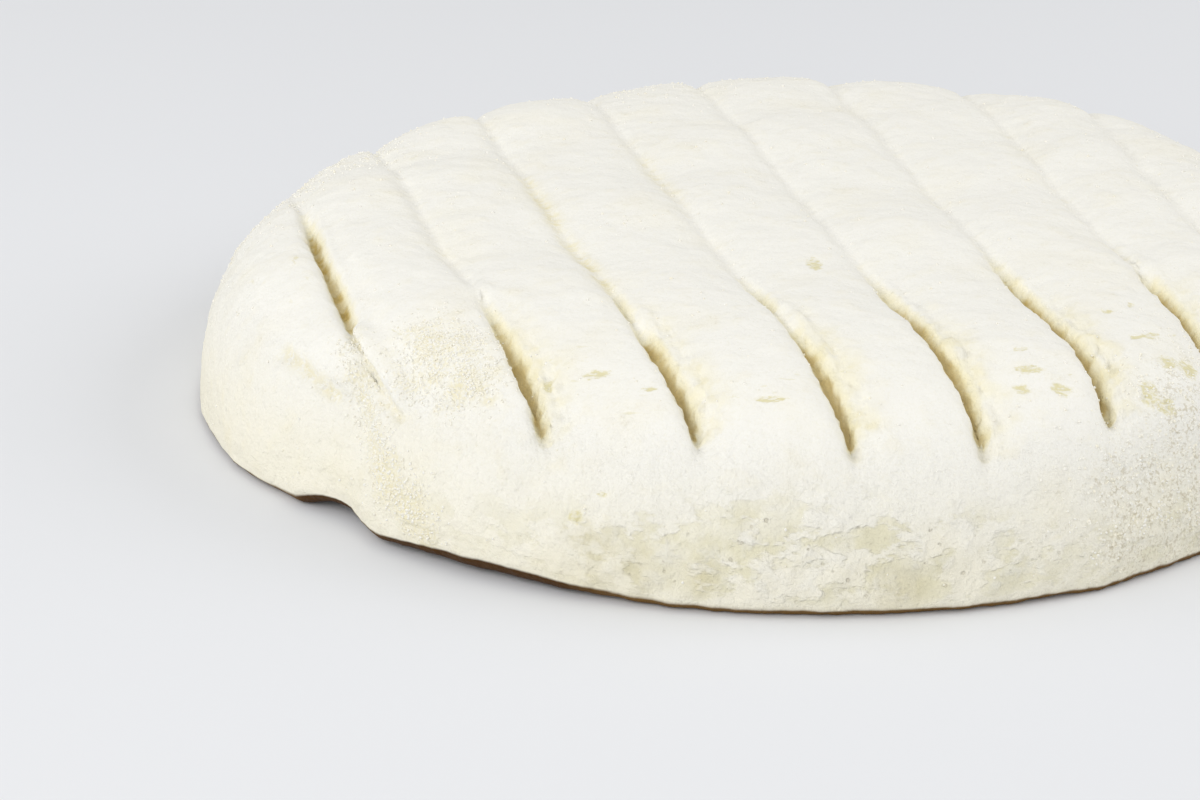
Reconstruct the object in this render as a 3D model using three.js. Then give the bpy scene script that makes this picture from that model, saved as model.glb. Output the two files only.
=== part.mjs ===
// A small tomme: a round, flat cheese with a white rind, and the parallel grooves that the wires
// of a draining rack pressed into its upper face.
//
// Millimetres, +Z up. The origin is the middle of the flat face that the cheese rests on. The
// grooves run nearly along Y, and the fold that pinches the side is at the front left (-X, -Y).
//
// The body is one closed skin. It starts as a sphere whose poles lie on the left and right edges,
// so that each of its rings is a slice along a groove, and every ring is then moved to its place:
// over the top from the front edge to the back one, and home again under the foot.

import * as THREE from 'three';

// Overall size.
const RADIUS = 70; // to the widest line of the side
const HEIGHT = 21.5; // from the table to the middle of the upper face
const WIDEST_HEIGHT = 1.6; // the widest line lies low, where the young cheese sagged
const FOOT_INSET = 5; // from the widest line in to the flat foot, so that the edge overhangs it
const SHOULDER_POWER = 10; // a higher power makes a squarer shoulder
const DOME_DROP = 0.5; // how far the upper face falls from its middle to the shoulder

// The rack's wires, seen from above.
const WIRE_TURN = THREE.MathUtils.degToRad(11); // away from the Y axis
const WIRE_SPREAD = 0.13; // the grooves lie a little closer at the front than at the back
const FRONT_BEND = 3.2; // how far their front ends bend to the right
const RIM_POWER = 16; // no bend reaches the widest line: a higher power holds back less inside it
const SHOULDER_EXTRA = 1.3; // the wires cut deeper where the face turns down
const SHOULDER_PLACE = 0.87; // the middle of that deeper stretch, as a share of the radius
const SHOULDER_REACH = 0.07;
const END_LENGTH = 0.045; // share of the radius over which a groove runs out
const CUT_TAPER = 0.35; // how much of its way a cut needs to reach its full depth
const SHALLOW_SHARE = 0.3; // behind the cut the wire left only a soft trough
const DENT_FADE = 1.6; // dents fade to nothing as the side comes down to the widest line
const BAND_CROWN = 0.9; // how far the bands swell up between the grooves
const CREST_LEAN = 1.3; // above 1, the crest lies right of the middle, near the next groove's lip
const CREST_BREADTH = 0.6; // a lower power makes a broader crest

// The section of a groove: a distance across it, and the share of its depth there. The left wall
// is a sharp lip, and the right one rises more and more softly to the next band.
const GROOVE_SECTION = [
  [-1.1, 0],
  [-0.5, 0.8],
  [0.2, 1],
  [1.0, 0.62],
  [2.0, 0.25],
  [3.4, 0],
];

// Each groove: where it crosses the X axis, how deep it is, and how far short of the widest line
// it stops at the front and at the back. Its front part is a deep cut, which opens at a place
// along the groove, -1 being its front end and 1 its back end.
const GROOVES = [
  { x: -57.0, depth: 2.2, front: 2.8, back: 6.5, opens: 0.45 },
  { x: -44.2, depth: 1.9, front: 3.0, back: 5.0, opens: -0.35 },
  { x: -29.6, depth: 2.1, front: 4.2, back: 4.2, opens: -0.3 },
  { x: -13.6, depth: 1.7, front: 3.8, back: 5.4, opens: -0.3 },
  { x: 1.4, depth: 1.8, front: 3.6, back: 3.8, opens: -0.3 },
  { x: 17.6, depth: 2.1, front: 4.4, back: 4.6, opens: -0.25 },
  { x: 33.6, depth: 1.9, front: 5.0, back: 4.0, opens: -0.3 },
  { x: 46.6, depth: 1.6, front: 4.8, back: 5.2, opens: -0.2 },
  { x: 58.8, depth: 1.2, front: 4.6, back: 5.8, opens: -0.1 },
];

// The fold that pinches the side: from the end of the first groove down to a notch in the foot.
const NOTCH_ANGLE = THREE.MathUtils.degToRad(-139);
const NOTCH_WIDTH = THREE.MathUtils.degToRad(5);
const NOTCH_DEPTH = 2.4;
const NOTCH_LIFT = 1.2;
const FOLD_TOP_ANGLE = THREE.MathUtils.degToRad(-134);
const FOLD_WIDTH = THREE.MathUtils.degToRad(4.5);
const FOLD_DEPTH = 1.4;
const FOLD_START = 0.86; // share of the radius where the fold begins, and where it is at its full depth
const FOLD_FULL = 0.95;
const FOLD_LEAN_START = 0.9; // below this share it leans from its top angle to the notch
const LOBE_SWELL = 0.8; // the lobe on the left of the fold bulges out
const LOBE_ANGLE = THREE.MathUtils.degToRad(-158);
const LOBE_WIDTH = THREE.MathUtils.degToRad(17);
const SWING = 1.7; // the first groove swings left before the fold
const SWING_WAY = -0.66; // the place of that swing along the groove
const SWING_LENGTH = 0.2;
const HOOK = 2.6; // and then it hooks right into the fold
const HOOK_WAY = -0.9;
const HOOK_LENGTH = 0.12;
const HOOK_BREADTH = 7; // how far across both drag the skin along
const CREASE_START = -0.26; // from here the first groove is pinched to a crease
const CREASE_FULL = -0.74;
const CREASE_SHARE = 0.42;
const SIDE_POWER = 14; // the notch belongs to the side alone, so it fades fast towards the middle

// The plan isn't a true circle: it is a little longer one way, and blunt on three sides.
const LONG_AXIS = THREE.MathUtils.degToRad(61);
const LONGER = 1.5;
const THREE_SIDED = 0.9;
const BACK_SWELL = 2.4; // the edge at the back right swells out
const BACK_ANGLE = THREE.MathUtils.degToRad(46);
const BACK_WIDTH = THREE.MathUtils.degToRad(24);

// The slack stretch of the edge at the front right, which stands a little off the table.
const SLACK_ANGLE = THREE.MathUtils.degToRad(-54);
const SLACK_WIDTH = THREE.MathUtils.degToRad(9);
const SLACK_DEPTH = 1.1;
const SLACK_LIFT = 0.5;

// Slow unevenness of the soft body.
const UNEVEN_WAVES = 9;
const UNEVEN_HEIGHT = 0.12;
const UNEVEN_LENGTHS = [16, 42];
const UNEVEN_SEED = 7;

// How finely the skin is divided.
const TOP_STEPS = 42; // over the top, from the front edge to the back one
const FOOT_STOPS = [1, 0.99, 0.972, 0.95, 0.928, 0.4]; // half of the way back under the foot
const BAND_STOPS = [0.22, 0.5, 0.78]; // across the band between two grooves
const EDGE_STOPS = 6; // slices outside the first and the last groove

const clamp01 = (value) => THREE.MathUtils.clamp(value, 0, 1);
const hump = (distance, width) => Math.exp(-((distance / width) ** 2));
const turnBetween = (angle, other) => Math.atan2(Math.sin(angle - other), Math.cos(angle - other));

// A repeatable random number from 0 to 1 (the minimal standard generator).
function randomSource(seed) {
  const modulus = 2147483647;
  let state = seed;
  return () => {
    state = (state * 16807) % modulus;
    return state / modulus;
  };
}

// Sine waves that cross the cheese in drawn directions, with drawn lengths.
const random = randomSource(UNEVEN_SEED);
const waves = Array.from({ length: UNEVEN_WAVES }, () => {
  const heading = 2 * Math.PI * random();
  const length = THREE.MathUtils.lerp(...UNEVEN_LENGTHS, random());
  return {
    x: (2 * Math.PI * Math.cos(heading)) / length,
    y: (2 * Math.PI * Math.sin(heading)) / length,
    phase: 2 * Math.PI * random(),
  };
});

function unevenness(x, y) {
  const sum = waves.reduce((total, wave) => total + Math.sin(wave.x * x + wave.y * y + wave.phase), 0);
  return UNEVEN_HEIGHT * sum;
}

// A slice is named by its share, from -1 at the left edge to 1 at the right one.
const shareOfX = (x) => (x * Math.cos(WIRE_TURN)) / RADIUS;
const grooves = GROOVES.map((groove) => ({ ...groove, share: shareOfX(groove.x) }));
const first = grooves[0];
const last = grooves[grooves.length - 1];

// The slices lie close together in the grooves, wider on the bands, and end at both edges.
function slices() {
  const stops = GROOVE_SECTION.map(([distance]) => distance / RADIUS);
  const left = stops[0];
  const right = stops[stops.length - 1];
  const shares = [];
  const edge = (from, to) => {
    for (let step = 1; step < EDGE_STOPS; step += 1) {
      // Closer and closer to the edge, as the slices get shorter.
      const way = Math.sin((Math.PI / 2) * (step / EDGE_STOPS));
      shares.push(THREE.MathUtils.lerp(from, to, way));
    }
  };
  edge(first.share + left, -1);
  edge(last.share + right, 1);
  grooves.forEach((groove, index) => {
    stops.forEach((stop) => shares.push(groove.share + stop));
    if (groove !== last) {
      const from = groove.share + right;
      const to = grooves[index + 1].share + left;
      BAND_STOPS.forEach((stop) => shares.push(THREE.MathUtils.lerp(from, to, stop)));
    }
  });
  return [-1, ...shares.sort((a, b) => a - b), 1];
}

// The plan of the side at an angle, and at a reach: 1 is the widest line and 0 the middle.
function edgeRadius(angle, reach) {
  const oval = LONGER * Math.cos(2 * (angle - LONG_AXIS)) + THREE_SIDED * Math.cos(3 * (angle - LONG_AXIS));
  const back = BACK_SWELL * hump(turnBetween(angle, BACK_ANGLE), BACK_WIDTH);
  const lobe = LOBE_SWELL * hump(turnBetween(angle, LOBE_ANGLE), LOBE_WIDTH);
  const notch = NOTCH_DEPTH * hump(turnBetween(angle, NOTCH_ANGLE), NOTCH_WIDTH);
  const slack = SLACK_DEPTH * hump(turnBetween(angle, SLACK_ANGLE), SLACK_WIDTH);
  return RADIUS + (oval + back + lobe) * reach ** 2 - (notch + slack) * reach ** SIDE_POWER;
}

// From a slice's share and the way along it, from -1 at the front edge to 1 at the back one, to
// the place in plan.
function placeInPlan(share, way) {
  const spread = WIRE_SPREAD * share * (1 - share ** 2);
  const front = new THREE.Vector2(share - spread, -Math.sqrt(1 - (share - spread) ** 2));
  const back = new THREE.Vector2(share + spread, Math.sqrt(1 - (share + spread) ** 2));
  const point = front.lerp(back, (way + 1) / 2);
  const reach = Math.min(1, point.length());
  const sway = HOOK * hump(way - HOOK_WAY, HOOK_LENGTH) - SWING * hump(way - SWING_WAY, SWING_LENGTH);
  const hook = sway * hump((share - first.share) * RADIUS, HOOK_BREADTH);
  const bend = FRONT_BEND * Math.max(0, -way) ** 2;
  point.x += ((hook + bend) / RADIUS) * (1 - reach ** RIM_POWER);
  point.rotateAround(new THREE.Vector2(), WIRE_TURN);
  const angle = Math.atan2(point.y, point.x);
  point.setLength(point.length() * edgeRadius(angle, reach));
  return { x: point.x, y: point.y, reach, angle };
}

// The share of a groove's depth at a distance across it.
function sectionShare(distance) {
  const after = GROOVE_SECTION.findIndex(([stop]) => stop > distance);
  if (after <= 0) {
    return 0;
  }
  const [from, fromShare] = GROOVE_SECTION[after - 1];
  const [to, toShare] = GROOVE_SECTION[after];
  return THREE.MathUtils.mapLinear(distance, from, to, fromShare, toShare);
}

// How deep a groove is pressed on a slice, at a reach from the middle.
function grooveDepth(groove, share, reach, way) {
  const end = 1 - (way < 0 ? groove.front : groove.back) / RADIUS;
  const run = THREE.MathUtils.smoothstep(end - reach, 0, END_LENGTH);
  const deeper = SHOULDER_EXTRA * hump(reach - SHOULDER_PLACE, SHOULDER_REACH);
  const behind = THREE.MathUtils.smoothstep(way, groove.opens - CUT_TAPER, groove.opens);
  const pinched = groove === first ? 1 - THREE.MathUtils.smoothstep(way, CREASE_FULL, CREASE_START) : 0;
  const cut = THREE.MathUtils.lerp(1, SHALLOW_SHARE, behind) * THREE.MathUtils.lerp(1, CREASE_SHARE, pinched);
  return (groove.depth + deeper) * cut * sectionShare((share - groove.share) * RADIUS) * run;
}

// The bands swell between the grooves, and so do the two strips outside them.
const troughs = [-1, ...grooves.map((groove) => groove.share), 1];

function bandSwell(share) {
  const next = Math.max(1, troughs.findIndex((trough) => trough >= share));
  const across = THREE.MathUtils.inverseLerp(troughs[next - 1], troughs[next], share);
  return BAND_CROWN * (Math.sin(Math.PI * across ** CREST_LEAN) ** CREST_BREADTH - 0.5);
}

// The fold runs down the side from the end of the first groove to the notch.
function foldDepth(angle, reach) {
  const down = THREE.MathUtils.smoothstep(reach, FOLD_LEAN_START, 1);
  const middle = THREE.MathUtils.lerp(FOLD_TOP_ANGLE, NOTCH_ANGLE, down);
  const along = THREE.MathUtils.smoothstep(reach, FOLD_START, FOLD_FULL);
  return FOLD_DEPTH * along * hump(turnBetween(angle, middle), FOLD_WIDTH);
}

// The widest line runs low round the side. It lifts off the table at the notch and the slack.
function widestHeight(angle) {
  const notch = NOTCH_LIFT * hump(turnBetween(angle, NOTCH_ANGLE), NOTCH_WIDTH);
  const slack = SLACK_LIFT * hump(turnBetween(angle, SLACK_ANGLE), SLACK_WIDTH);
  return WIDEST_HEIGHT + notch + slack;
}

function topHeight(share, way, place) {
  const { x, y, reach, angle } = place;
  const widest = widestHeight(angle);
  const shoulder = Math.sqrt(1 - reach ** SHOULDER_POWER);
  const face = HEIGHT - DOME_DROP * reach ** 2 + bandSwell(share) + unevenness(x, y);
  const pressed = grooves.reduce((sum, groove) => sum + grooveDepth(groove, share, reach, way), 0);
  const dent = (pressed + foldDepth(angle, reach)) * Math.min(1, DENT_FADE * shoulder);
  return widest + (face - widest) * shoulder - dent;
}

// Under the widest line the side tucks in to the flat foot.
function footHeight({ reach, angle }) {
  const inside = 1 - FOOT_INSET / RADIUS;
  const out = clamp01((reach - inside) / (1 - inside));
  return widestHeight(angle) * (1 - Math.sqrt(1 - out ** 2));
}

// The stops of one ring: over the top, closer at both edges, and back under the foot.
const topStops = Array.from({ length: TOP_STEPS }, (_, step) => -Math.cos((Math.PI * step) / TOP_STEPS));
const footStops = [...FOOT_STOPS, 0, ...FOOT_STOPS.slice(1).reverse().map((stop) => -stop)];

function ringPoint(share, step) {
  if (step < TOP_STEPS) {
    const way = topStops[step];
    const place = placeInPlan(share, way);
    return [place.x, place.y, topHeight(share, way, place)];
  }
  const place = placeInPlan(share, footStops[step - TOP_STEPS]);
  return [place.x, place.y, footHeight(place)];
}

function cheeseGeometry() {
  const shares = slices();
  const ringSteps = TOP_STEPS + footStops.length;
  const geometry = new THREE.SphereGeometry(RADIUS, ringSteps, shares.length - 1);
  const position = geometry.attributes.position;
  shares.forEach((share, row) => {
    for (let column = 0; column <= ringSteps; column += 1) {
      const point = ringPoint(share, column % ringSteps);
      position.setXYZ(row * (ringSteps + 1) + column, ...point);
    }
  });
  geometry.deleteAttribute('uv');
  geometry.computeVertexNormals();
  return geometry;
}

const rind = new THREE.MeshStandardMaterial({ color: 0xf1eee2, roughness: 0.92, metalness: 0 });

const cheese = new THREE.Mesh(cheeseGeometry(), rind);
cheese.name = 'cheese';

const group = new THREE.Group();
group.add(cheese);

export default group;
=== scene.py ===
# %% [markdown]
# # A small tomme
# A tomme is a flat, round cheese. This one is young: the paste is soft, so the side has sagged a
# little, and a white mould has grown over it like velvet. The wires of a draining rack pressed
# nine grooves into its upper face. Where the mould was rubbed off, cream and straw yellow show.
#
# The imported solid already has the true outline, the grooves and the fold in the side. This file
# gives it the small relief and the colours that make it look like cheese.

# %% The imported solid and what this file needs
import math

import bpy
import numpy as np
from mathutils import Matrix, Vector


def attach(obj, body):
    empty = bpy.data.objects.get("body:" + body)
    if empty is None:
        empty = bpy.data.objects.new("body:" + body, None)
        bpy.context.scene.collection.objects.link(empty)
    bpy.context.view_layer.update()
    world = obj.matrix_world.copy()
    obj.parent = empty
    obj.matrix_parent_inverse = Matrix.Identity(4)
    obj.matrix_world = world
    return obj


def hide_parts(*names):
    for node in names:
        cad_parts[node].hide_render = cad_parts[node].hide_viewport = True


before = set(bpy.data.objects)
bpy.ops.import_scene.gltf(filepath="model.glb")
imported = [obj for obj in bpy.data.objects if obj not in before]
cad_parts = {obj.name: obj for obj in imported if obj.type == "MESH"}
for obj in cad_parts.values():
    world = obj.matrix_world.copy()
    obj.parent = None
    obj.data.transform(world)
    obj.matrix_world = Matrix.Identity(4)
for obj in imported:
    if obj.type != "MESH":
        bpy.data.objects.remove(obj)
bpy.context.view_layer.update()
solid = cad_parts["cheese"]
print("the solid has", len(solid.data.polygons), "triangles")

# %% [markdown]
# Blender works in metres and a cheese is easier to describe in millimetres, so MM turns one into
# the other. An operator acts on whatever is selected, so one helper selects a single object and
# nothing else before each step.

# %% Small helpers
MM = 0.001


def select_only(piece):
    bpy.ops.object.select_all(action="DESELECT")
    piece.select_set(True)
    bpy.context.view_layer.objects.active = piece


def apply_modifier(piece, kind, **settings):
    select_only(piece)
    modifier = piece.modifiers.new(kind.title(), kind)
    for name, value in settings.items():
        setattr(modifier, name, value)
    bpy.ops.object.modifier_apply(modifier=modifier.name)


def points_of(piece):
    """The places of a mesh's vertices, in millimetres."""
    places = np.empty(len(piece.data.vertices) * 3)
    piece.data.vertices.foreach_get("co", places)
    return places.reshape(-1, 3) / MM


# %% [markdown]
# ## The skin
# The rind is one closed skin, so it starts as a copy of the solid. The solid's triangles are loose,
# so the copy is merged first. Its edges run along the grooves. Pairing the triangles into
# four-sided faces keeps those runs, and a subdivision surface then rounds the skin without
# washing out the sharp lips. A voxel remesh would also round it, but it would blur the lips.

# %% Copy, merge and round the skin
MERGE_DISTANCE = 0.01 * MM
ROUNDING_LEVELS = 2

bpy.ops.object.select_all(action="DESELECT")
rind = bpy.data.objects.new("rind", solid.data.copy())
bpy.context.scene.collection.objects.link(rind)
rind.data.materials.clear()
select_only(rind)
bpy.ops.object.mode_set(mode="EDIT")
bpy.ops.mesh.select_all(action="SELECT")
bpy.ops.mesh.remove_doubles(threshold=MERGE_DISTANCE)
bpy.ops.mesh.tris_convert_to_quads(face_threshold=math.pi, shape_threshold=math.pi)
bpy.ops.object.mode_set(mode="OBJECT")
apply_modifier(rind, "SUBSURF", levels=ROUNDING_LEVELS, render_levels=ROUNDING_LEVELS)
print("the rounded skin has", len(rind.data.polygons), "faces")

# %% [markdown]
# The crust and the grainy mould sit on the front side, where they need a finer skin than the rest.
# The long edges there are cut in half, which leaves the short ones and the back alone.

# %% Halve the long edges of the front side
LONG_EDGE = 0.45
FRONT_SIDE_BEFORE = -38
FRONT_SIDE_HEIGHTS = (0.8, 13)


def triangle_count(piece):
    return sum(len(face.vertices) - 2 for face in piece.data.polygons)


def edge_ends(piece):
    ends = np.empty(len(piece.data.edges) * 2, int)
    piece.data.edges.foreach_get("vertices", ends)
    return ends.reshape(-1, 2)


places = points_of(rind)
start, end = (places[side] for side in edge_ends(rind).T)
middle = (start + end) / 2
long_edge = np.linalg.norm(end - start, axis=1) > LONG_EDGE
lowest, highest = FRONT_SIDE_HEIGHTS
front_side = (middle[:, 1] < FRONT_SIDE_BEFORE) & (middle[:, 2] > lowest) & (middle[:, 2] < highest)
select_only(rind)
bpy.context.tool_settings.mesh_select_mode = (False, True, False)
bpy.ops.object.mode_set(mode="EDIT")
bpy.ops.mesh.select_all(action="DESELECT")
bpy.ops.object.mode_set(mode="OBJECT")
rind.data.edges.foreach_set("select", long_edge & front_side)
bpy.ops.object.mode_set(mode="EDIT")
bpy.ops.mesh.subdivide(number_cuts=1)
bpy.ops.object.mode_set(mode="OBJECT")
print("with a finer front side it has", triangle_count(rind), "triangles")

# %% [markdown]
# ## Where the grooves run
# The finish needs to know how far each point is from a groove. A groove's line follows the same
# rule as in the solid: the wires fan out a little, turn 11 degrees and bend at their front ends.
# Only the front part of a groove is a deep cut. Behind it the wire left a soft trough, which needs
# no finish of its own. The first groove is pinched to a crease before it meets the fold.

# %% The lines of the grooves
RADIUS = 70.0
WIRE_TURN = math.radians(11)
WIRE_SPREAD = 0.13
FRONT_BEND = 3.2
RIM_POWER = 16  # no bend reaches the widest line
SWING = 1.7  # the first groove swings left before the fold
SWING_WAY = -0.66
SWING_LENGTH = 0.2
HOOK = 2.6  # and then it hooks right into the fold
HOOK_WAY = -0.9
HOOK_LENGTH = 0.12
HOOK_BREADTH = 7
CREASE_FULL = -0.74  # the first groove narrows to a crease in front of this place
CREASE_START = -0.3
CUT_TAPER = 0.35
LONG_AXIS = math.radians(61)
LONGER = 1.5
THREE_SIDED = 0.9
BACK_SWELL = 2.4
BACK_ANGLE = math.radians(46)
BACK_WIDTH = math.radians(24)
LOBE_SWELL = 0.8
LOBE_ANGLE = math.radians(-158)
LOBE_WIDTH = math.radians(17)
NOTCH_DEPTH = 2.4
NOTCH_ANGLE = math.radians(-139)
NOTCH_WIDTH = math.radians(5)
SIDE_POWER = 14
GROOVES = [
    # Where it crosses the X axis, how far it stops short of the edge, front and back, and the
    # place along it, from -1 to 1, where its deep cut opens.
    (-57.0, 2.8, 6.5, 0.45),
    (-44.2, 3.0, 5.0, -0.35),
    (-29.6, 4.2, 4.2, -0.3),
    (-13.6, 3.8, 5.4, -0.3),
    (1.4, 3.6, 3.8, -0.3),
    (17.6, 4.4, 4.6, -0.25),
    (33.6, 5.0, 4.0, -0.3),
    (46.6, 4.8, 5.2, -0.2),
    (58.8, 4.6, 5.8, -0.1),
]


def hump(distance, width):
    return np.exp(-((distance / width) ** 2))


def smooth(value, low, high):
    """0 below low, 1 above high, and a soft step between them."""
    t = np.clip((value - low) / (high - low), 0, 1)
    return t * t * (3 - 2 * t)


def edge_radius(angle, reach):
    """The plan of the side: longer one way, blunt on three sides, with two swells and a notch."""
    turn = angle - LONG_AXIS
    oval = LONGER * np.cos(2 * turn) + THREE_SIDED * np.cos(3 * turn)
    swell = BACK_SWELL * hump(angle - BACK_ANGLE, BACK_WIDTH)
    lobe = LOBE_SWELL * hump(angle - LOBE_ANGLE, LOBE_WIDTH)
    notch = NOTCH_DEPTH * hump(angle - NOTCH_ANGLE, NOTCH_WIDTH)
    return RADIUS + (oval + swell + lobe) * reach**2 - notch * reach**SIDE_POWER


def groove_line(x):
    """A groove's line from its front end to its back end, seen from above."""
    share = x * math.cos(WIRE_TURN) / RADIUS
    spread = WIRE_SPREAD * share * (1 - share**2)
    front = np.array([share - spread, -math.sqrt(1 - (share - spread) ** 2)])
    back = np.array([share + spread, math.sqrt(1 - (share + spread) ** 2)])
    way = np.linspace(-1, 1, 61)
    line = front + np.outer((way + 1) / 2, back - front)
    reach = np.minimum(1, np.hypot(*line.T))
    first_share = GROOVES[0][0] * math.cos(WIRE_TURN) / RADIUS
    sway = HOOK * hump(way - HOOK_WAY, HOOK_LENGTH) - SWING * hump(way - SWING_WAY, SWING_LENGTH)
    hook = sway * hump((share - first_share) * RADIUS, HOOK_BREADTH)
    bend = FRONT_BEND * np.maximum(0, -way) ** 2
    line[:, 0] += (hook + bend) / RADIUS * (1 - reach**RIM_POWER)
    turned = np.arctan2(line[:, 1], line[:, 0]) + WIRE_TURN
    length = np.hypot(*line.T)
    radius = edge_radius(turned, reach) * length
    return np.stack([radius * np.cos(turned), radius * np.sin(turned)], 1), way, reach


def beside(points, line):
    """How far points are from a line, positive on its right, and the nearest stretch of it."""
    best = np.full(len(points), 1e9)
    across = np.zeros(len(points))
    nearest = np.zeros(len(points), int)
    for i, (start, end) in enumerate(zip(line[:-1], line[1:])):
        run = end - start
        offset = points - start
        t = np.clip(offset @ run / (run @ run), 0, 1)
        gap = offset - np.outer(t, run)
        distance = np.hypot(*gap.T)
        closer = distance < best
        best[closer] = distance[closer]
        side = np.sign(run[1] * gap[:, 0] - run[0] * gap[:, 1])
        across[closer] = (side * distance)[closer]
        nearest[closer] = i
    return across, nearest


print("groove 2 starts at", groove_line(GROOVES[1][0])[0][3].round(1))

# %% [markdown]
# ## Zones on the skin
# Each finish keeps to a zone, such as the pressed grooves, the sugary patches of coarse mould or
# the crust low on the side. A zone is stored on the skin as an attribute between 0 and 1. The
# material can read it by name, and a vertex group with the same name can hold back a modifier.

# %% Store a zone
def store_zone(piece, name, values):
    values = np.clip(values, 0, 1).astype(np.float32)
    zone = piece.data.attributes.new(name, "FLOAT", "POINT")
    zone.data.foreach_set("value", values)
    group = piece.vertex_groups.new(name=name)
    for index in np.nonzero(values > 0.01)[0]:
        group.add([int(index)], float(values[index]), "REPLACE")
    print(f"zone {name} covers {np.mean(values > 0.5):.1%} of the points")


skin = points_of(rind)
height = skin[:, 2]

# %% The groove zones
BRIDGES = {
    # In a few grooves, at some places along them, curd rose and nearly closed the cut.
    -44.2: [(-0.42, 0.04)],
    -29.6: [(-0.57, 0.04)],
    -13.6: [(-0.61, 0.07)],
    33.6: [(-0.5, 0.05)],
}
STAINED_TROUGHS = {
    # Whey stained the bottoms of two troughs: from where to where along them, how wide, how much.
    -29.6: (-0.4, 0.25, 1.1, 1.0),
    -13.6: (0.0, 0.3, 1.3, 0.6),
}
SLIT = [(-0.9, 0.0), (-0.5, 0.8), (0.0, 1.0), (0.5, 0.8), (1.0, 0.45), (1.8, 0.0)]
FIRST_SLIT_WIDTH = 0.75
RUN_OUT = 0.05

slit = np.zeros(len(skin))
left_lip = np.zeros(len(skin))
wall = np.zeros(len(skin))
floor_fill = np.zeros(len(skin))
bridge = np.zeros(len(skin))
front_end = np.zeros(len(skin))
trough = np.zeros(len(skin))
upper = smooth(height, 7, 11)
for x, front_gap, back_gap, opens in GROOVES:
    line, way, reach = groove_line(x)
    across, nearest = beside(skin[:, :2], line)
    way = way[nearest]
    stop_short = np.where(way < 0, front_gap, back_gap)
    run = smooth(1 - stop_short / RADIUS - reach[nearest], -0.01, RUN_OUT) * upper
    cut = run * (1 - 0.85 * smooth(way, opens - CUT_TAPER, opens))
    if x == GROOVES[0][0]:
        cut = cut * (0.45 + 0.55 * smooth(way, CREASE_FULL, CREASE_START))
    for bridge_way, length in BRIDGES.get(x, []):
        risen = hump(way - bridge_way, length) * hump(across - 0.6, 1.3) * run
        bridge = np.maximum(bridge, risen)
        cut = cut * (1 - 0.8 * risen)
    if x in STAINED_TROUGHS:
        stain_start, stain_end, stain_width, stain_share = STAINED_TROUGHS[x]
        stained = smooth(way, stain_start - 0.05, stain_start + 0.05)
        stained = stained * (1 - smooth(way, stain_end - 0.05, stain_end + 0.05))
        trough = np.maximum(trough, stain_share * stained * hump(across, stain_width) * upper)
    slit_width = FIRST_SLIT_WIDTH if x == GROOVES[0][0] else 1.0
    slit = np.maximum(slit, np.interp(across / slit_width, *zip(*SLIT)) * cut)
    floor_fill = np.maximum(floor_fill, hump(across - 1.0, 0.75) * cut)
    left_lip = np.maximum(left_lip, hump(across + 1.0, 0.6) * cut)
    if x != GROOVES[0][0]:
        wall = np.maximum(wall, hump(across - 1.9, 1.3) * cut)
        at_front = smooth(-way, 0.45, 0.8) * run
        front_end = np.maximum(front_end, hump(across - 1.8, 2.0) * at_front)

# %% [markdown]
# The mould grew coarse and grainy in a few places: on the band beside the fold, down the fold
# itself, on the right of the front side, and here and there round the back. Such a zone is a row of
# balls, and its value is the largest of their humps. Rows of balls also place the stains, the olive
# paste low on the side, and the valley and the corner of the lobe. The first groove ends in a thin
# crease beside a smooth ridge, and those, the lobe's crease and the edge of the grain follow lines.
# Most places at the front were found with rays from the camera to the skin, and rounded.

# %% The places of the grain, the ridge, the creases and the stains
GRAIN_BALLS = [
    # A place on the skin in millimetres, and how far the grain spreads round it.
    (-40.6, -44.2, 19.2, 3.6),
    (-38.0, -46.0, 19.0, 3.8),
    (-36.0, -50.0, 17.4, 3.2),
    (-39.6, -47.0, 16.8, 3.2),
    (-41.2, -46.4, 15.2, 2.6),
    (-37.0, -50.6, 16.0, 2.4),
    (-49.0, -39.6, 16.2, 1.6),
    (-48.4, -41.4, 14.6, 1.7),
    (-47.8, -43.4, 13.0, 1.8),
    (-47.0, -45.6, 11.7, 1.9),
    (-46.4, -47.6, 10.6, 1.7),
    (-45.9, -49.5, 9.9, 1.8),
    (-45.2, -51.2, 8.8, 2.0),
    (-44.8, -52.6, 7.8, 2.4),
    (-43.9, -54.0, 6.7, 2.6),
    (-42.6, -55.4, 5.8, 2.7),
    (-41.6, -56.8, 4.2, 2.4),
    (-40.6, -57.6, 3.0, 2.0),
]
SPECK_BALLS = [
    (32.0, -60.5, 9.0, 7.0),
    (36.5, -57.5, 7.0, 8.0),
    (36.5, -54.0, 15.0, 5.0),
    (30.5, -62.4, 5.0, 5.0),
    (43.0, -52.0, 10.0, 9.0),
    (52.0, -43.0, 8.0, 7.0),
    (-20.0, 66.0, 9.0, 13.0),
    (-6.0, 68.0, 5.0, 10.0),
    (18.0, 69.0, 8.0, 9.0),
    (-62.0, 26.0, 10.0, 12.0),
    (-66.0, 10.0, 7.0, 9.0),
    (67.0, 8.0, 9.0, 12.0),
]
RIDGE_LINE = [
    (-48.6, -36.5, 17.0),
    (-47.2, -40.5, 16.9),
    (-45.7, -43.6, 16.0),
    (-44.3, -45.9, 15.0),
    (-43.4, -47.6, 14.0),
]
CREASE_LINE = [
    (-48.2, -41.9, 16.5),
    (-46.8, -44.0, 15.0),
    (-45.6, -46.0, 13.8),
    (-44.5, -47.8, 13.2),
    (-43.4, -49.4, 12.8),
]
LOBE_CREASE_LINE = [
    (-57.2, -34.2, 14.6),
    (-55.7, -36.6, 14.4),
    (-54.1, -38.7, 13.9),
    (-52.6, -40.4, 13.2),
    (-51.1, -41.9, 12.4),
]
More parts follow.
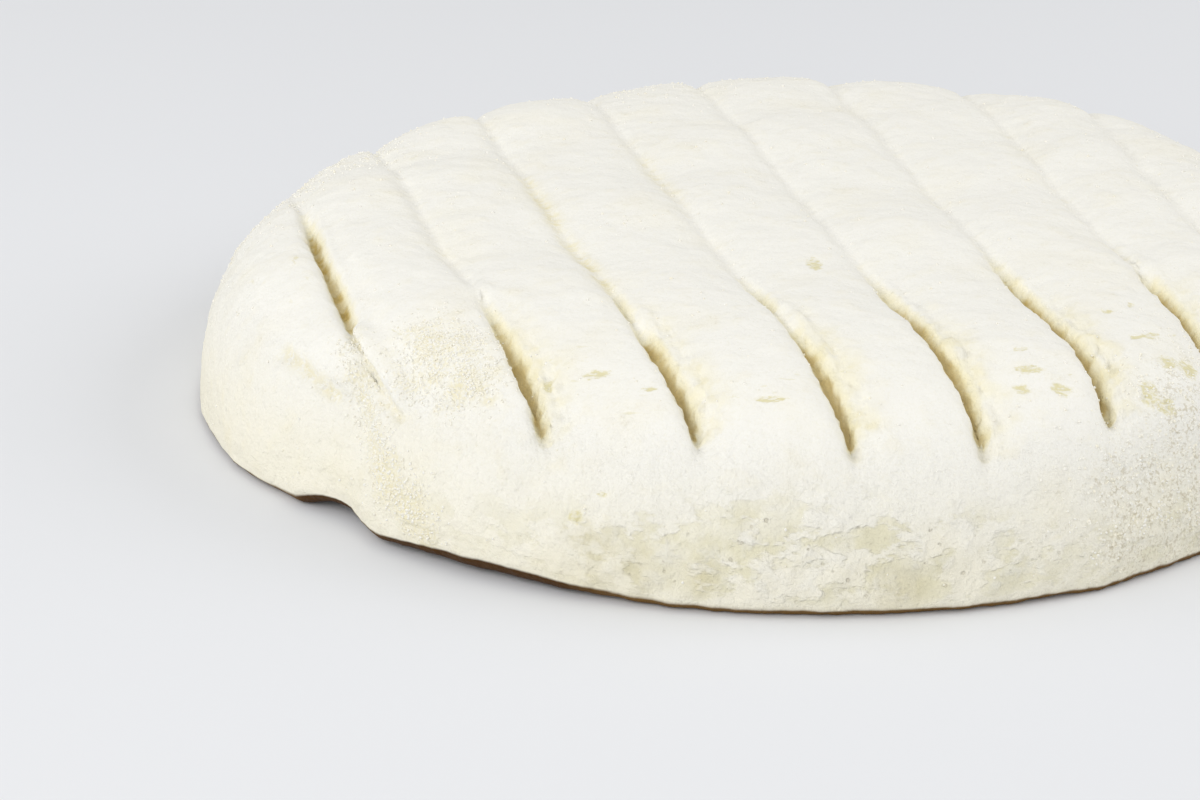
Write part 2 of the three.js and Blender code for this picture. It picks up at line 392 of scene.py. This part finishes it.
GRAIN_EDGE_LINE = [
    (-49.5, -43.0, 12.2),
    (-48.5, -45.4, 10.6),
    (-47.3, -47.8, 10.0),
    (-46.1, -50.3, 9.0),
    (-44.7, -53.1, 7.5),
    (-43.2, -55.3, 5.5),
]
STAIN_BALLS = [
    (-41.2, -46.0, 15.4, 1.0),
    (-39.4, -48.4, 15.9, 1.1),
    (-37.2, -50.4, 16.4, 1.0),
    (-35.0, -52.0, 16.6, 1.0),
    (-34.1, -53.2, 16.4, 0.8),
    (-42.6, -41.5, 19.2, 0.9),
    (-40.2, -43.6, 19.4, 0.8),
    (-49.0, -37.6, 17.4, 0.9),
]
VALLEY_BALLS = [
    (-48.0, -43.5, 12.6, 2.4),
    (-48.3, -45.9, 10.1, 2.6),
    (-48.9, -47.7, 7.4, 2.8),
    (-49.6, -48.1, 4.7, 3.0),
    (-49.8, -48.1, 2.6, 3.0),
]
LOBE_CORNER_BALLS = [(-55.0, -42.6, 1.5, 2.4)]
OLIVE_BALLS = [
    (-23.4, -66.4, 4.4, 3.8),
    (-23.7, -66.0, 5.9, 2.4),
    (-20.0, -67.6, 3.4, 3.4),
    (-12.8, -69.3, 4.2, 1.7),
    (6.9, -70.3, 3.1, 2.6),
]


def balls(points, places):
    zone = np.zeros(len(points))
    for x, y, z, spread in places:
        distance = np.linalg.norm(points - (x, y, z), axis=1)
        zone = np.maximum(zone, hump(distance, spread))
    return zone


def ribbon(points, line, width):
    """1 on a line of places and fading with the distance from it."""
    nearest = np.full(len(points), 1e9)
    for start, end in zip(np.array(line[:-1]), np.array(line[1:])):
        run = end - start
        t = np.clip((points - start) @ run / (run @ run), 0, 1)
        gap = points - start - np.outer(t, run)
        nearest = np.minimum(nearest, np.linalg.norm(gap, axis=1))
    return hump(nearest, width)


# %% Store the zones of the places above
ridge = ribbon(skin, RIDGE_LINE, 1.2)
store_zone(rind, "slit", slit * (1 - ridge))
store_zone(rind, "left_lip", left_lip * (1 - ridge))
store_zone(rind, "wall", wall)
store_zone(rind, "floor_fill", floor_fill)
store_zone(rind, "bridge", bridge)
store_zone(rind, "front_end", front_end)
store_zone(rind, "ridge", ridge)
store_zone(rind, "grain", balls(skin, GRAIN_BALLS))
store_zone(rind, "speck", balls(skin, SPECK_BALLS))
store_zone(rind, "crease", ribbon(skin, CREASE_LINE, 0.6))
store_zone(rind, "lobe_crease", ribbon(skin, LOBE_CREASE_LINE, 0.7))
store_zone(rind, "grain_edge", ribbon(skin, GRAIN_EDGE_LINE, 0.7))
store_zone(rind, "stain", balls(skin, STAIN_BALLS))
store_zone(rind, "valley", balls(skin, VALLEY_BALLS))
store_zone(rind, "olive", balls(skin, OLIVE_BALLS))
store_zone(rind, "trough", trough)
store_zone(rind, "lobe_corner", balls(skin, LOBE_CORNER_BALLS))

# %% [markdown]
# The rind was also scraped where it was handled. A scrape is a squashed ball, longest along the
# rim, and its ragged edge comes later from a noise in the finish.

# %% The scrapes
SCRAPES = [
    # Place on the skin, and half-widths along X, Y and Z, in millimetres.
    ((-23.0, -52.7, 19.2), (1.7, 0.8, 1.5)),
    ((-28.0, -52.2, 17.1), (0.7, 1.3, 1.2)),
    ((-17.6, -56.3, 19.0), (0.8, 0.5, 1.0)),
    ((-9.3, -58.8, 19.2), (0.5, 0.4, 1.0)),
    ((-5.7, -59.8, 19.3), (2.0, 0.5, 1.0)),
    ((-25.2, -64.6, 8.4), (0.9, 1.0, 0.8)),
    ((-22.5, -64.5, 10.8), (0.7, 1.0, 0.3)),
    ((21.0, -54.2, 20.2), (1.9, 0.7, 1.0)),
    ((19.9, -56.9, 19.2), (1.0, 0.8, 1.0)),
    ((24.0, -56.7, 19.0), (1.3, 1.0, 1.0)),
    ((20.3, -50.6, 21.1), (1.3, 0.5, 1.0)),
    ((35.0, -45.2, 20.7), (1.0, 0.9, 1.0)),
    ((33.2, -45.8, 20.8), (0.9, 0.6, 1.0)),
    ((34.3, -37.2, 21.1), (0.6, 0.6, 1.0)),
    ((31.1, -39.1, 21.1), (1.0, 0.6, 1.0)),
    ((33.3, -54.6, 17.8), (0.9, 2.2, 2.0)),
    ((36.0, -49.9, 19.3), (1.3, 1.3, 1.2)),
    ((38.2, -49.8, 18.4), (1.1, 1.6, 1.6)),
    ((35.1, -55.1, 16.4), (1.5, 1.2, 0.9)),
    ((1.2, -25.0, 21.6), (1.1, 2.2, 1.2)),
]


def squashed_balls(points, places):
    zone = np.zeros(len(points))
    for centre, half_widths in places:
        away = np.linalg.norm((points - centre) / half_widths, axis=1)
        zone = np.maximum(zone, hump(away, 1.0))
    return zone


store_zone(rind, "scrape", squashed_balls(skin, SCRAPES))

# %% [markdown]
# More zones run round the side: the crust low on it, the brow where the top turns down to it, and
# the underside of the edge that hangs over. Three say how the lower edge hangs: the gap where it
# stays clear of the table, the sag where it came down, and the lift right of the fold.

# %% The crust, the brow and the lower edge
ON_TABLE = 0.02  # a point lower than this belongs to the foot
angle = np.arctan2(skin[:, 1], skin[:, 0])
reach = np.hypot(skin[:, 0], skin[:, 1]) / edge_radius(angle, 1.0)
crust_top = 11 + 2.0 * np.sin(3 * angle + 0.4) + 1.2 * np.sin(7 * angle)

# The crust is strongest at the front, weak on the lobe at the left, and patchy elsewhere.
patches = 0.45 + 0.3 * np.sin(2 * angle + 2.5) + 0.15 * np.sin(5 * angle)
in_front = hump(angle - math.radians(-88), math.radians(36))
on_lobe = hump(angle - math.radians(-158), math.radians(26))
crust = np.maximum(patches, in_front) * (1 - 0.85 * on_lobe)
low_side = smooth(height, 1.2, 3.5) * smooth(crust_top - height, 0, 4.5)
store_zone(rind, "crust", crust * low_side)
store_zone(rind, "brow", hump(reach - 0.84, 0.09) * smooth(height, 12, 16) * (1 - slit))
normal_heights = np.empty(len(skin) * 3)
rind.data.vertex_normals.foreach_get("vector", normal_heights)
normal_heights = normal_heights.reshape(-1, 3)[:, 2]
downward = smooth(-normal_heights, 0.0, 0.5)

# The edge hangs clear of the table at the fold and right of it. Elsewhere it sagged and nearly
# touches the table.
fold_gap = hump(angle - math.radians(-138.5), math.radians(4.2))
front_gap = hump(angle - math.radians(-121), math.radians(11))
back_gap = 0.5 * hump(angle - math.radians(75), math.radians(25))
gap = np.maximum(np.maximum(fold_gap, front_gap), back_gap)
edge = smooth(height, 0.03, 0.4) * (1 - smooth(height, 1.5, 5))
# The underside zone places a painted shadow: faces turned down, low on the side, reaching higher
# where the edge hangs clear.
underside_top = 0.9 + 1.1 * gap
underside = downward * (1 - smooth(height - underside_top, 0, 1.2))
underside[height < ON_TABLE] = 0  # the foot itself keeps the colour of the rind
store_zone(rind, "underside", underside)
store_zone(rind, "gap", gap)
store_zone(rind, "sag", (1 - gap) * edge)
lifted = smooth(height, 0.5, 1.6) * (1 - smooth(height, 2.0, 5.5))
store_zone(rind, "lift", front_gap * lifted)

# %% [markdown]
# ## Relief
# Real mould is never as even as a rounded solid. Displace modifiers move the skin. Plain ones
# swell the ridge, sink the creases, shift the lower edge up or down and raise curd in the grooves.
# A slow noise gives the handmade unevenness, and finer noises tear the lips of the grooves and
# roughen the crust and the grain. A noise is read in object coordinates, and each modifier but the
# first two noises keeps to its zone.

# %% Displace the skin
def relief(piece, kind, size, strength, zone="", middle=0.5, **settings):
    texture = bpy.data.textures.new(f"{zone or 'body'} relief", kind)
    texture.noise_scale = size * MM
    for name, value in settings.items():
        setattr(texture, name, value)
    apply_modifier(
        piece,
        "DISPLACE",
        texture=texture,
        texture_coords="LOCAL",
        strength=strength * MM,
        mid_level=middle,
        vertex_group=zone,
    )


def swell(piece, zone, strength, direction="NORMAL"):
    """Moves a zone out by so many millimetres, or in where the strength is below 0."""
    apply_modifier(
        piece,
        "DISPLACE",
        strength=strength * MM,
        mid_level=0.0,
        vertex_group=zone,
        direction=direction,
    )


before = points_of(rind)
swell(rind, "ridge", 1.0)
swell(rind, "valley", -0.7)
swell(rind, "crease", -0.8)
swell(rind, "lobe_crease", -0.7)
swell(rind, "grain_edge", -0.35)
swell(rind, "scrape", -0.12)
swell(rind, "sag", -0.7, direction="Z")
swell(rind, "lift", 0.4, direction="Z")
swell(rind, "lobe_corner", 0.8)
swell(rind, "floor_fill", 0.85, direction="Z")
swell(rind, "bridge", 1.1, direction="Z")
relief(rind, "CLOUDS", 7.0, 0.6, noise_depth=1)
relief(rind, "CLOUDS", 2.2, 0.35, noise_depth=2)
relief(rind, "CLOUDS", 1.8, 0.55, zone="left_lip", noise_depth=1)
relief(rind, "CLOUDS", 1.6, 0.8, zone="wall", noise_depth=1)
relief(rind, "CLOUDS", 1.1, 1.3, zone="front_end", middle=0.4, noise_depth=1)
relief(rind, "CLOUDS", 2.8, 0.8, zone="crust", noise_depth=2)
relief(rind, "CLOUDS", 0.9, 0.4, zone="grain", noise_depth=2)
relief(rind, "CLOUDS", 0.9, 0.4, zone="speck", noise_depth=2)
moved = np.linalg.norm(points_of(rind) - before, axis=1)
print(f"the relief moves the skin by {moved.mean():.2f} mm, {moved.max():.2f} mm at most")

# %% [markdown]
# The foot has to stay flat, and no lump may sink into the table. Points that started on the
# foot, and any that fell below it, go back to the table. The flat foot then needs no small
# faces, so they are dissolved into one.

# %% Flatten the foot
places = points_of(rind)
on_foot = before[:, 2] < ON_TABLE
places[on_foot, 2] = 0
places[:, 2] = np.maximum(places[:, 2], 0)
rind.data.vertices.foreach_set("co", (places * MM).ravel())
rind.data.update()

select_only(rind)
bpy.ops.object.mode_set(mode="EDIT")
bpy.ops.mesh.select_all(action="DESELECT")
bpy.ops.object.mode_set(mode="OBJECT")
for face in rind.data.polygons:
    face.select = all(places[v, 2] < 1e-6 for v in face.vertices)
bpy.ops.object.mode_set(mode="EDIT")
bpy.ops.mesh.select_mode(type="FACE")
bpy.ops.mesh.dissolve_limited(angle_limit=math.radians(1))
bpy.ops.object.mode_set(mode="OBJECT")
bpy.ops.object.shade_smooth()
print("the skin now has", triangle_count(rind), "triangles")

# %% [markdown]
# ## Shader sums
# A finish is a long sum of noises and zones. Written as nodes it is hard to read, so this class
# wraps one output of a node, and +, -, * and / on it add Math nodes. Any other node comes from
# its `node` method.

# %% The Term class
class Term:
    """One output of a node in a material. Sums with it add Math nodes to the material."""

    def __init__(self, tree, socket):
        self.tree = tree
        self.socket = socket

    def node(self, kind, settings=None, sockets=None, output=0):
        made = self.tree.nodes.new(kind)
        for name, value in (settings or {}).items():
            setattr(made, name, value)
        for name, value in (sockets or {}).items():
            if isinstance(value, Term):
                self.tree.links.new(value.socket, made.inputs[name])
            else:
                made.inputs[name].default_value = value
        return Term(self.tree, made.outputs[output])

    def maths(self, operation, *values):
        return self.node("ShaderNodeMath", {"operation": operation}, dict(enumerate(values)))

    def __add__(self, other):
        return self.maths("ADD", self, other)

    def __radd__(self, other):
        return self.maths("ADD", other, self)

    def __sub__(self, other):
        return self.maths("SUBTRACT", self, other)

    def __rsub__(self, other):
        return self.maths("SUBTRACT", other, self)

    def __mul__(self, other):
        return self.maths("MULTIPLY", self, other)

    def __rmul__(self, other):
        return self.maths("MULTIPLY", other, self)

    def __truediv__(self, other):
        return self.maths("DIVIDE", self, other)

    def step(self, low, high):
        """0 below low, 1 above high, and a soft step between them."""
        return self.node(
            "ShaderNodeMapRange",
            {"interpolation_type": "SMOOTHSTEP"},
            {"Value": self, "From Min": low, "From Max": high},
        )

    def most(self, other):
        return self.maths("MAXIMUM", self, other)

    def size(self):
        return self.maths("ABSOLUTE", self)


# %% [markdown]
# Noises are named by the size of their blotches in millimetres, and a zone by its attribute.

# %% Noises, cells and zones
def noise(place, size, detail=2.0, rough=0.5, output=0):
    return place.node(
        "ShaderNodeTexNoise",
        {},
        {"Vector": place, "Scale": 1 / size, "Detail": detail, "Roughness": rough},
        output,
    )


def cells(place, size, feature="F1"):
    return place.node(
        "ShaderNodeTexVoronoi", {"feature": feature}, {"Vector": place, "Scale": 1 / size}
    )


def zone(place, name):
    return place.node("ShaderNodeAttribute", {"attribute_name": name}, {}, output=2)


def stretched(place, widths):
    """The same place with each axis divided by its own width, so that a noise stretches."""
    return place.node("ShaderNodeVectorMath", {"operation": "DIVIDE"}, {0: place, 1: widths})


def blend_colour(factor, first, second):
    """The first colour where factor is 0 and the second where it is 1."""
    sockets = {0: factor}
    sockets[6] = first if isinstance(first, Term) else (*first, 1)
    sockets[7] = second if isinstance(second, Term) else (*second, 1)
    return factor.node("ShaderNodeMix", {"data_type": "RGBA"}, sockets, output=2)


# %% [markdown]
# ## The rind's finish
# Under the mould lies cream paste. The mould is a chalky white, thick on top and thinner low on
# the side, where the cream shows through in blotches. In the grooves it is thin, so their walls
# are cream and the bottoms are ochre; that ochre, darkest in the deepest part of a cut, is partly
# painted shade. Scrapes are flat and straw yellow. The underside of the hanging edge is brown,
# which stands in for the deep shadow there.

# %% Colours
MOULD_WHITE = (0.895, 0.88, 0.82)
CREAM = (0.89, 0.84, 0.67)
BUTTER = (0.90, 0.84, 0.60)
PASTE = (0.78, 0.74, 0.55)
STRAW = (0.80, 0.72, 0.42)
RUBBED = (0.74, 0.68, 0.40)
# Ochre is partly the paste's colour and partly painted shade deep in the cuts.
OCHRE_AND_SHADE = (0.55, 0.40, 0.12)
OLIVE = (0.62, 0.56, 0.34)
# Both browns are painted shadow under the hanging edge.
SHADOW_BROWN = (0.17, 0.09, 0.02)
DEEP_SHADOW_BROWN = (0.07, 0.028, 0.003)
SHADE = (0.60, 0.54, 0.40)

# %% Start the rind's material
finish = bpy.data.materials.new("white mould rind")
finish.use_nodes = True
tree = finish.node_tree
surface = tree.nodes["Principled BSDF"]
coordinates = Term(tree, tree.nodes.new("ShaderNodeTexCoord").outputs["Object"])
place = coordinates.node(
    "ShaderNodeVectorMath", {"operation": "SCALE"}, {0: coordinates, "Scale": 1 / MM}
)

# %% [markdown]
# Marks on the side lie level, because the cheese was turned and rubbed along its rim. Noises for
# them are read in a place that runs round the rim: the way round it, the distance from the middle,
# and the height.

# %% A place that runs round the rim
across = place.node("ShaderNodeSeparateXYZ", {}, {0: place}, output=0)
along = place.node("ShaderNodeSeparateXYZ", {}, {0: place}, output=1)
up = place.node("ShaderNodeSeparateXYZ", {}, {0: place}, output=2)
way_round = along.maths("ARCTAN2", along, across) * RADIUS
from_middle = along.maths("SQRT", along * along + across * across)
rim_place = place.node("ShaderNodeCombineXYZ", {}, {0: way_round, 1: from_middle, 2: up})

# %% Noises that several layers share
coarse = noise(place, 9.0, 3.0)
medium = noise(place, 2.6, 3.0)
fine = noise(place, 0.9, 4.0, 0.65)
velvet = noise(place, 0.32, 3.0, 0.65)
granules = cells(place, 0.36)

# %% [markdown]
# The masks come next. Each zone is broken up by a noise before it is used, because an even rim
# round a patch looks like a sticker.

# %% Masks
slit_mask = zone(place, "slit") + (fine - 0.5) * 0.25 + (medium - 0.5) * 0.5
front_end = zone(place, "front_end")
patchy = noise(place, 3.2, 2.0).step(0.38, 0.6)
grain_mask = (zone(place, "grain") + (medium - 0.5) * 1.2 + (fine - 0.5)).step(0.2, 0.9)
speck_mask = zone(place, "speck") + (coarse - 0.5) + (medium - 0.5) + (fine - 0.5)
speck_mask = speck_mask.step(0.15, 0.95)
crust = zone(place, "crust")
low = 1 - up.step(2.0, 17.0)

scrape = zone(place, "scrape") * 1.8 + (fine - 0.5) * 1.6 + (velvet - 0.5) * 0.8
scrape = scrape.step(0.6, 1.2)
streaks = noise(stretched(place, (2.2, 1.0, 1.0)), 0.45, 2.0, 0.6)
scrape = scrape * (0.25 + 0.75 * streaks.step(0.38, 0.58))
scuffs = noise(stretched(rim_place, (3.0, 1.0, 1.0)), 1.1, 2.0).step(0.66, 0.76)
scuffs = scuffs * (zone(place, "brow") * coarse.step(0.45, 0.6))
scrape = scrape.most(scuffs * 0.6)

# %% [markdown]
# Low on the side the mould has peeled in flakes. The flakes are the high half of a noise with a
# soft step at its rim, so they read as thin islands over waxy paste. Short ridges like little
# worms lie between them: the line where a second noise crosses its middle. Small pits are the
# middles of some cells.

# %% The crust's flakes, ridges and pits
flake_noise = noise(stretched(rim_place, (1.8, 1.0, 1.0)), 3.0, 4.0, 0.6)
bare = (1 - flake_noise.step(0.46, 0.54)) * crust
worm_noise = noise(stretched(rim_place, (1.5, 1.0, 1.0)), 1.9, 3.0, 0.6)
worms = (1 - (worm_noise - 0.5).size().step(0.0, 0.16)) * crust * medium.step(0.45, 0.65)
pits = (1 - cells(place, 1.3).step(0.1, 0.26)) * fine.step(0.5, 0.62)
pits = pits * (0.1 + 0.9 * crust)

# %% Colour
thin = coarse.step(0.48, 0.7) * 0.2 + medium.step(0.5, 0.75) * 0.2 + low * 0.65
colour = blend_colour(thin, MOULD_WHITE, CREAM)
colour = blend_colour((1 - velvet.step(0.3, 0.52)) * 0.18, colour, PASTE)
colour = blend_colour(bare * (0.45 + 0.55 * patchy), colour, PASTE)
colour = blend_colour(worms * 0.55, colour, MOULD_WHITE)
olive = zone(place, "olive") * (0.15 + 0.2 * patchy + 0.3 * bare)
colour = blend_colour(olive, colour, OLIVE)
colour = blend_colour(pits * 0.5, colour, SHADE)
# The grain patch is tinted straw, more in the gaps between the granules; the extra straw in those
# gaps is painted shade.
straw_and_shade_in_gaps = granules.step(0.35, 0.7)
colour = blend_colour(grain_mask * (0.06 + 0.36 * straw_and_shade_in_gaps), colour, STRAW)
specks = noise(place, 0.34, 2.0).step(0.48, 0.6) * fine.step(0.42, 0.55)
colour = blend_colour(speck_mask * specks * 0.65, colour, SHADE)
# Towards the deepest part of a cut the colour goes from butter through straw to ochre; the ochre
# deep in the cut is partly the paste's colour and partly painted shade.
colour = blend_colour(slit_mask.step(0.15, 0.6) * 0.7, colour, BUTTER)
colour = blend_colour(slit_mask.step(0.45, 1.0) * (0.4 + 0.6 * patchy), colour, STRAW)
deep = slit_mask.step(0.6, 0.95) * (0.55 + 0.45 * front_end.most(patchy))
colour = blend_colour(deep, colour, OCHRE_AND_SHADE)
colour = blend_colour(front_end * (0.2 + 0.35 * patchy), colour, BUTTER)
colour = blend_colour(front_end * patchy * medium.step(0.48, 0.6) * 0.3, colour, STRAW)
yellowed = zone(place, "lobe_crease").most(zone(place, "stain"))
yellowed = yellowed.most(zone(place, "crease") * 0.5)
colour = blend_colour(yellowed * fine.step(0.36, 0.56) * 0.6, colour, STRAW)
trough = zone(place, "trough") * (0.35 + 0.65 * patchy) * (0.4 + 0.6 * fine.step(0.4, 0.6))
colour = blend_colour(trough * 0.75, colour, STRAW)
colour = blend_colour(scrape * 0.9, colour, RUBBED)
# Painted shadow: the underside of the hanging edge turns brown, darker where the edge stands clear
# of the table.
painted_shadow_colour = blend_colour(zone(place, "gap").step(0.1, 0.6), SHADOW_BROWN, DEEP_SHADOW_BROWN)
colour = blend_colour(zone(place, "underside").step(0.1, 0.7), colour, painted_shadow_colour)
tree.links.new(colour.socket, surface.inputs["Base Color"])

# %% [markdown]
# The relief that is too fine for the mesh goes into one Bump node. Every height below is in
# millimetres, and the node's distance turns it into metres.

# %% Roughness and bump
gloss = scrape * 0.12 + bare * 0.08 + slit_mask.step(0.4, 0.9) * 0.1
tree.links.new((0.94 - gloss).socket, surface.inputs["Roughness"])

sugar = (1 - granules) * grain_mask.most(speck_mask)
calm = 0.3 + 0.7 * (1 - up.step(13.0, 19.0))
relief_height = (velvet * 0.14 + fine * 0.34) * calm + medium * 0.4
relief_height = relief_height + sugar * 0.08 - pits * 0.16
relief_height = relief_height + worms * 0.1 - bare * 0.13 - scrape * 0.06
relief_height = relief_height + fine * slit_mask.step(0.2, 0.8) * 0.2
bump = place.node(
    "ShaderNodeBump", {}, {"Strength": 1.0, "Distance": 1.0 * MM, "Height": relief_height}
)
tree.links.new(bump.socket, surface.inputs["Normal"])

surface.inputs["Specular IOR Level"].default_value = 0.15
surface.inputs["Sheen Weight"].default_value = 0.05
surface.inputs["Sheen Roughness"].default_value = 0.6
rind.data.materials.append(finish)
print("the rind's finish has", len(tree.nodes), "nodes")

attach(rind, "root")
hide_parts("cheese")

# %% [markdown]
# ## Loose grains of mould
# In the grainy patches the mould stands up as separate grains, like sugar. They break the outline,
# which a bump can't do, so they are real. One grain is modelled once, a ball of 20 faces, and
# copies are sown over the skin: more where a zone is strong, each with its own size, squash and
# turn. All the copies are one mesh, made from arrays, because thousands of objects would be slow.

# %% Model one grain
bpy.ops.object.select_all(action="DESELECT")
bpy.ops.mesh.primitive_ico_sphere_add(subdivisions=1, radius=1.0, location=(0, 0, 0))
one_grain = bpy.context.object
grain_corners = np.array([v.co for v in one_grain.data.vertices])
grain_faces = np.array([face.vertices[:] for face in one_grain.data.polygons])
bpy.data.objects.remove(one_grain)

# %% Sow the grains
GRAIN_COUNT = 9500
GRAIN_SIZES = (0.07, 0.20)
GRAIN_SEED = 5
SPECK_SHARE = 0.35
STRAY_SHARE = 0.004  # a few grains lie anywhere

drawn = np.random.default_rng(GRAIN_SEED)
skin = points_of(rind)
rind.data.calc_loop_triangles()
corners = np.empty(len(rind.data.loop_triangles) * 3, int)
rind.data.loop_triangles.foreach_get("vertices", corners)
corners = corners.reshape(-1, 3)


def zone_values(piece, name):
    values = np.empty(len(piece.data.vertices), np.float32)
    piece.data.attributes[name].data.foreach_get("value", values)
    return values


first, second, third = (skin[corners[:, i]] for i in range(3))
normals = np.cross(second - first, third - first)
areas = np.linalg.norm(normals, axis=1) / 2
coarse_mould = zone_values(rind, "grain") + SPECK_SHARE * zone_values(rind, "speck") + STRAY_SHARE
coarse_mould *= 1 - zone_values(rind, "slit")
chance = areas * coarse_mould[corners].mean(1) * (normals[:, 2] > 0.2 * areas)
chosen = drawn.choice(len(corners), GRAIN_COUNT, p=chance / chance.sum())
u, v = drawn.random((2, GRAIN_COUNT, 1))
u, v = np.where(u + v > 1, 1 - u, u), np.where(u + v > 1, 1 - v, v)
seats = first[chosen] + u * (second - first)[chosen] + v * (third - first)[chosen]
outward = normals[chosen] / (2 * areas[chosen, None])
print("sown", GRAIN_COUNT, "grains")

# %% Join the grains into one mesh
sizes = drawn.uniform(*GRAIN_SIZES, GRAIN_COUNT)[:, None]
squash = drawn.uniform(0.6, 1.2, (GRAIN_COUNT, 3))
turns = np.linalg.qr(drawn.normal(size=(GRAIN_COUNT, 3, 3)))[0]
turns *= np.sign(np.linalg.det(turns))[:, None, None]
shapes = grain_corners[None] * (squash * sizes)[:, None]
shapes = np.einsum("nij,nkj->nki", turns, shapes)
shapes = shapes + (seats + outward * sizes * 0.15)[:, None]
faces = grain_faces[None] + (np.arange(GRAIN_COUNT) * len(grain_corners))[:, None, None]

grains = bpy.data.objects.new("mould_grains", bpy.data.meshes.new("mould_grains"))
bpy.context.scene.collection.objects.link(grains)
flat_shapes = shapes.reshape(-1, 3)
flat_shapes[:, 2] = np.maximum(flat_shapes[:, 2], 0)
grains.data.from_pydata((flat_shapes * MM).tolist(), [], faces.reshape(-1, 3).tolist())
select_only(grains)
bpy.ops.object.shade_smooth()
print("the grains have", triangle_count(grains), "triangles")

# %% The grains' finish
grain_finish = bpy.data.materials.new("grain of mould")
grain_finish.use_nodes = True
grain_tree = grain_finish.node_tree
grain_surface = grain_tree.nodes["Principled BSDF"]
grain_place = Term(grain_tree, grain_tree.nodes.new("ShaderNodeTexCoord").outputs["Object"])
tint = noise(grain_place, 1.5 * MM, 3.0, 0.7).step(0.4, 0.7) * 0.7
grain_colour = blend_colour(tint, MOULD_WHITE, CREAM)
grain_tree.links.new(grain_colour.socket, grain_surface.inputs["Base Color"])
grain_down = noise(grain_place, 0.1 * MM, 2.0) * 0.02
grain_bump = grain_place.node(
    "ShaderNodeBump", {}, {"Strength": 1.0, "Distance": 1.0 * MM, "Height": grain_down}
)
grain_tree.links.new(grain_bump.socket, grain_surface.inputs["Normal"])
grain_surface.inputs["Roughness"].default_value = 0.85
grain_surface.inputs["Specular IOR Level"].default_value = 0.25
grains.data.materials.append(grain_finish)

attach(grains, "root")

# %% [markdown]
# ## Table, light and camera
# The cheese lies on a plain pale table. The two stronger lights stand left in front and at the
# right, so that each groove is lit from one side and shaded on the other. Two weaker ones, at the
# left and in front, fill the side, and a pale surrounding keeps the shadows open.

# %% The table
bpy.ops.object.select_all(action="DESELECT")
bpy.ops.mesh.primitive_plane_add(size=4.0, location=(0, 0, 0))
table = bpy.context.object
table.name = "table"
table_finish = bpy.data.materials.new("pale table")
table_finish.use_nodes = True
table_surface = table_finish.node_tree.nodes["Principled BSDF"]
table_surface.inputs["Base Color"].default_value = (0.80, 0.81, 0.83, 1)
table_surface.inputs["Roughness"].default_value = 0.85
table_surface.inputs["Specular IOR Level"].default_value = 0.1
table.data.materials.append(table_finish)

# %% Light
def soft_light(name, place, size, power, colour):
    """A square area light that faces the cheese."""
    bpy.ops.object.light_add(type="AREA", location=place)
    light = bpy.context.object
    light.name = name
    light.rotation_euler = (-Vector(place)).to_track_quat("-Z", "Y").to_euler()
    light.data.shape = "SQUARE"
    light.data.size = size
    light.data.energy = power
    light.data.color = colour


soft_light("window light", (-0.75, 0.15, 0.55), 0.7, 1.75, (1.0, 1.0, 1.0))
soft_light("left front light", (-0.6, -0.5, 0.5), 0.6, 2.7, (1.0, 1.0, 1.0))
soft_light("right light", (0.75, 0.1, 0.5), 0.6, 2.85, (1.0, 1.0, 1.0))
soft_light("front light", (0.0, -0.9, 0.5), 0.6, 1.85, (1.0, 1.0, 1.0))

surrounding = bpy.data.worlds.new("pale room")
surrounding.use_nodes = True
surrounding.node_tree.nodes["Background"].inputs["Color"].default_value = (1.0, 1.0, 1.0, 1)
surrounding.node_tree.nodes["Background"].inputs["Strength"].default_value = 0.5
bpy.context.scene.world = surrounding
bpy.context.scene.view_settings.view_transform = "Standard"

# %% Camera
CAMERA_PLACE = (-22.7 * MM, -323.2 * MM, 123.9 * MM)
CAMERA_DOWN = math.radians(21.7)

bpy.ops.object.camera_add(location=CAMERA_PLACE, rotation=(math.pi / 2 - CAMERA_DOWN, 0, 0))
camera = bpy.context.object
camera.name = "camera"
camera.data.lens = 85
camera.data.sensor_width = 36
camera.data.clip_start = 0.01
bpy.context.scene.camera = camera
